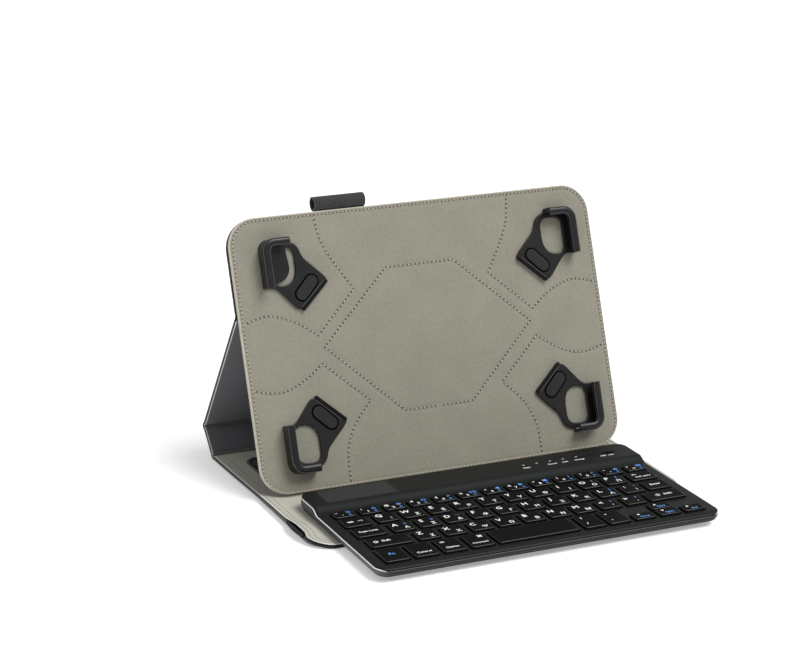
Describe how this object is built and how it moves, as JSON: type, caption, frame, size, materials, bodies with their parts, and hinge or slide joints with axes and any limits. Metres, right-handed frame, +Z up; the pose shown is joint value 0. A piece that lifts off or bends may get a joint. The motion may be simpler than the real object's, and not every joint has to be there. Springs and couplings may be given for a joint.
{
  "type": "tablet keyboard case",
  "caption": "Folding tablet case standing open on its spine and kick panel, with elastic corner clips and a slim detachable keyboard on the front cover.",
  "frame": {"origin": "centre of the front cover's underside, on the table, with the case standing open", "axes": "+X along the spine to the right as the user sees it, +Y from the user to the spine, +Z up"},
  "size_m": [0.2642, 0.2634, 0.1825],
  "materials": {
    "black_leather": "embossed satin",
    "greyboard": "matt",
    "dark_lining": "matt",
    "light_lining": "suede",
    "microfibre": "suede",
    "backing_cloth": "matt",
    "elastic_web": "ribbed weave",
    "clip_plastic": "satin moulded",
    "clip_rubber": "matt",
    "dock_plastic": "fine grain",
    "magnet_steel": "plated",
    "case_plastic": "fine grain",
    "key_plastic": "satin",
    "circuit_board": "satin",
    "cell_foil": "satin",
    "dome_film": "clear film",
    "port_steel": "satin",
    "lens_clear": "clear"
  },
  "bodies": {
    "front_cover": {"front_cover_skin": "black_leather", "front_cover_board": "greyboard", "dock_magnet_left": "magnet_steel", "dock_magnet_right": "magnet_steel", "front_cover_lining": "light_lining", "dock_pad": "dock_plastic", "edge_tab": "elastic_web"},
    "spine": {"spine_skin": "black_leather", "spine_board": "greyboard", "spine_lining": "dark_lining"},
    "kick_panel": {"kick_panel_skin": "black_leather", "kick_panel_board": "greyboard", "kick_panel_lining": "dark_lining"},
    "tablet_panel": {"upper_cover_skin": "black_leather", "upper_cover_board": "greyboard", "panel_backing": "backing_cloth", "panel_board": "greyboard", "panel_facing": "microfibre", "pen_loop": "elastic_web"},
    "clip_top_left": {"clip_top_left": "clip_plastic", "clip_pad_top_left": "clip_rubber", "clip_elastic_top_left": "elastic_web"},
    "clip_top_right": {"clip_top_right": "clip_plastic", "clip_pad_top_right": "clip_rubber", "clip_elastic_top_right": "elastic_web"},
    "clip_bottom_left": {"clip_bottom_left": "clip_plastic", "clip_pad_bottom_left": "clip_rubber", "clip_elastic_bottom_left": "elastic_web"},
    "clip_bottom_right": {"clip_bottom_right": "clip_plastic", "clip_pad_bottom_right": "clip_rubber", "clip_elastic_bottom_right": "elastic_web"},
    "keyboard": {"keyboard_top_case": "case_plastic", "keyboard_bottom_case": "case_plastic", "dome_sheet": "dome_film", "circuit_board": "circuit_board", "battery": "cell_foil", "charge_port": "port_steel", "indicator_lens": "lens_clear"},
    "power_switch": {"power_switch": "key_plastic"},
    "number_row_keys": {"number_row_keys": "key_plastic"},
    "upper_letter_keys": {"upper_letter_keys": "key_plastic"},
    "home_letter_keys": {"home_letter_keys": "key_plastic"},
    "lower_letter_keys": {"lower_letter_keys": "key_plastic"},
    "tab_key": {"tab_key": "key_plastic"},
    "backspace_key": {"backspace_key": "key_plastic"},
    "caps_lock_key": {"caps_lock_key": "key_plastic"},
    "enter_key": {"enter_key": "key_plastic"},
    "left_shift_key": {"left_shift_key": "key_plastic"},
    "right_shift_key": {"right_shift_key": "key_plastic"},
    "fn_key": {"fn_key": "key_plastic"},
    "control_key": {"control_key": "key_plastic"},
    "option_key": {"option_key": "key_plastic"},
    "command_key": {"command_key": "key_plastic"},
    "space_key": {"space_key": "key_plastic"},
    "slash_key": {"slash_key": "key_plastic"},
    "quote_key": {"quote_key": "key_plastic"},
    "left_arrow_key": {"left_arrow_key": "key_plastic"},
    "up_arrow_key": {"up_arrow_key": "key_plastic"},
    "down_arrow_key": {"down_arrow_key": "key_plastic"},
    "right_arrow_key": {"right_arrow_key": "key_plastic"}
  },
  "joints": [
    {"name": "spine_hinge", "type": "hinge", "parent": "front_cover", "child": "spine", "pos_m": [0, 0.096, 0.0004], "axis": [1, 0, 0], "range_deg": [-45.3, 0]},
    {"name": "kick_hinge", "type": "hinge", "parent": "spine", "child": "kick_panel", "pos_m": [0, 0.11359, 0.01817], "axis": [1, 0, 0], "range_deg": [-80.55, 0]},
    {"name": "crease_hinge", "type": "hinge", "parent": "kick_panel", "child": "tablet_panel", "pos_m": [0, 0.04448, 0.11381], "axis": [1, 0, 0], "range_deg": [0, 56.2]},
    {"name": "clip_top_left_stretch", "type": "slide", "parent": "tablet_panel", "child": "clip_top_left", "axis": [-0.7071, 0.2447, 0.6634], "range_m": [0, 0.011], "stiffness_N_per_m": 150, "springref_m": -0.003},
    {"name": "clip_top_right_stretch", "type": "slide", "parent": "tablet_panel", "child": "clip_top_right", "axis": [0.7071, 0.2447, 0.6634], "range_m": [0, 0.011], "stiffness_N_per_m": 150, "springref_m": -0.003},
    {"name": "clip_bottom_left_stretch", "type": "slide", "parent": "tablet_panel", "child": "clip_bottom_left", "axis": [-0.7071, -0.2447, -0.6634], "range_m": [0, 0.011], "stiffness_N_per_m": 150, "springref_m": -0.003},
    {"name": "clip_bottom_right_stretch", "type": "slide", "parent": "tablet_panel", "child": "clip_bottom_right", "axis": [0.7071, -0.2447, -0.6634], "range_m": [0, 0.011], "stiffness_N_per_m": 150, "springref_m": -0.003},
    {"name": "keyboard_lift", "type": "slide", "parent": "front_cover", "child": "keyboard", "axis": [0, 0, 1], "range_m": [0, 0.04]},
    {"name": "power_switch_slide", "type": "slide", "parent": "keyboard", "child": "power_switch", "axis": [-1, 0, 0], "range_m": [0, 0.004]},
    {"name": "number_row_keys_press", "type": "slide", "parent": "keyboard", "child": "number_row_keys", "axis": [0, 0, -1], "range_m": [0, 0.0015], "stiffness_N_per_m": 3900, "springref_m": -0.0005},
    {"name": "upper_letter_keys_press", "type": "slide", "parent": "keyboard", "child": "upper_letter_keys", "axis": [0, 0, -1], "range_m": [0, 0.0015], "stiffness_N_per_m": 3000, "springref_m": -0.0005},
    {"name": "home_letter_keys_press", "type": "slide", "parent": "keyboard", "child": "home_letter_keys", "axis": [0, 0, -1], "range_m": [0, 0.0015], "stiffness_N_per_m": 3000, "springref_m": -0.0005},
    {"name": "lower_letter_keys_press", "type": "slide", "parent": "keyboard", "child": "lower_letter_keys", "axis": [0, 0, -1], "range_m": [0, 0.0015], "stiffness_N_per_m": 2700, "springref_m": -0.0005},
    {"name": "tab_key_press", "type": "slide", "parent": "keyboard", "child": "tab_key", "axis": [0, 0, -1], "range_m": [0, 0.0015], "stiffness_N_per_m": 300, "springref_m": -0.0005},
    {"name": "backspace_key_press", "type": "slide", "parent": "keyboard", "child": "backspace_key", "axis": [0, 0, -1], "range_m": [0, 0.0015], "stiffness_N_per_m": 300, "springref_m": -0.0005},
    {"name": "caps_lock_key_press", "type": "slide", "parent": "keyboard", "child": "caps_lock_key", "axis": [0, 0, -1], "range_m": [0, 0.0015], "stiffness_N_per_m": 300, "springref_m": -0.0005},
    {"name": "enter_key_press", "type": "slide", "parent": "keyboard", "child": "enter_key", "axis": [0, 0, -1], "range_m": [0, 0.0015], "stiffness_N_per_m": 300, "springref_m": -0.0005},
    {"name": "left_shift_key_press", "type": "slide", "parent": "keyboard", "child": "left_shift_key", "axis": [0, 0, -1], "range_m": [0, 0.0015], "stiffness_N_per_m": 300, "springref_m": -0.0005},
    {"name": "right_shift_key_press", "type": "slide", "parent": "keyboard", "child": "right_shift_key", "axis": [0, 0, -1], "range_m": [0, 0.0015], "stiffness_N_per_m": 300, "springref_m": -0.0005},
    {"name": "fn_key_press", "type": "slide", "parent": "keyboard", "child": "fn_key", "axis": [0, 0, -1], "range_m": [0, 0.0015], "stiffness_N_per_m": 300, "springref_m": -0.0005},
    {"name": "control_key_press", "type": "slide", "parent": "keyboard", "child": "control_key", "axis": [0, 0, -1], "range_m": [0, 0.0015], "stiffness_N_per_m": 300, "springref_m": -0.0005},
    {"name": "option_key_press", "type": "slide", "parent": "keyboard", "child": "option_key", "axis": [0, 0, -1], "range_m": [0, 0.0015], "stiffness_N_per_m": 300, "springref_m": -0.0005},
    {"name": "command_key_press", "type": "slide", "parent": "keyboard", "child": "command_key", "axis": [0, 0, -1], "range_m": [0, 0.0015], "stiffness_N_per_m": 300, "springref_m": -0.0005},
    {"name": "space_key_press", "type": "slide", "parent": "keyboard", "child": "space_key", "axis": [0, 0, -1], "range_m": [0, 0.0015], "stiffness_N_per_m": 300, "springref_m": -0.0005},
    {"name": "slash_key_press", "type": "slide", "parent": "keyboard", "child": "slash_key", "axis": [0, 0, -1], "range_m": [0, 0.0015], "stiffness_N_per_m": 300, "springref_m": -0.0005},
    {"name": "quote_key_press", "type": "slide", "parent": "keyboard", "child": "quote_key", "axis": [0, 0, -1], "range_m": [0, 0.0015], "stiffness_N_per_m": 300, "springref_m": -0.0005},
    {"name": "left_arrow_key_press", "type": "slide", "parent": "keyboard", "child": "left_arrow_key", "axis": [0, 0, -1], "range_m": [0, 0.0015], "stiffness_N_per_m": 300, "springref_m": -0.0005},
    {"name": "up_arrow_key_press", "type": "slide", "parent": "keyboard", "child": "up_arrow_key", "axis": [0, 0, -1], "range_m": [0, 0.0015], "stiffness_N_per_m": 300, "springref_m": -0.0005},
    {"name": "down_arrow_key_press", "type": "slide", "parent": "keyboard", "child": "down_arrow_key", "axis": [0, 0, -1], "range_m": [0, 0.0015], "stiffness_N_per_m": 300, "springref_m": -0.0005},
    {"name": "right_arrow_key_press", "type": "slide", "parent": "keyboard", "child": "right_arrow_key", "axis": [0, 0, -1], "range_m": [0, 0.0015], "stiffness_N_per_m": 300, "springref_m": -0.0005}
  ],
  "couplings": [
    {"joint": "crease_hinge", "follows": "kick_hinge", "ratio": -0.69646}
  ]
}
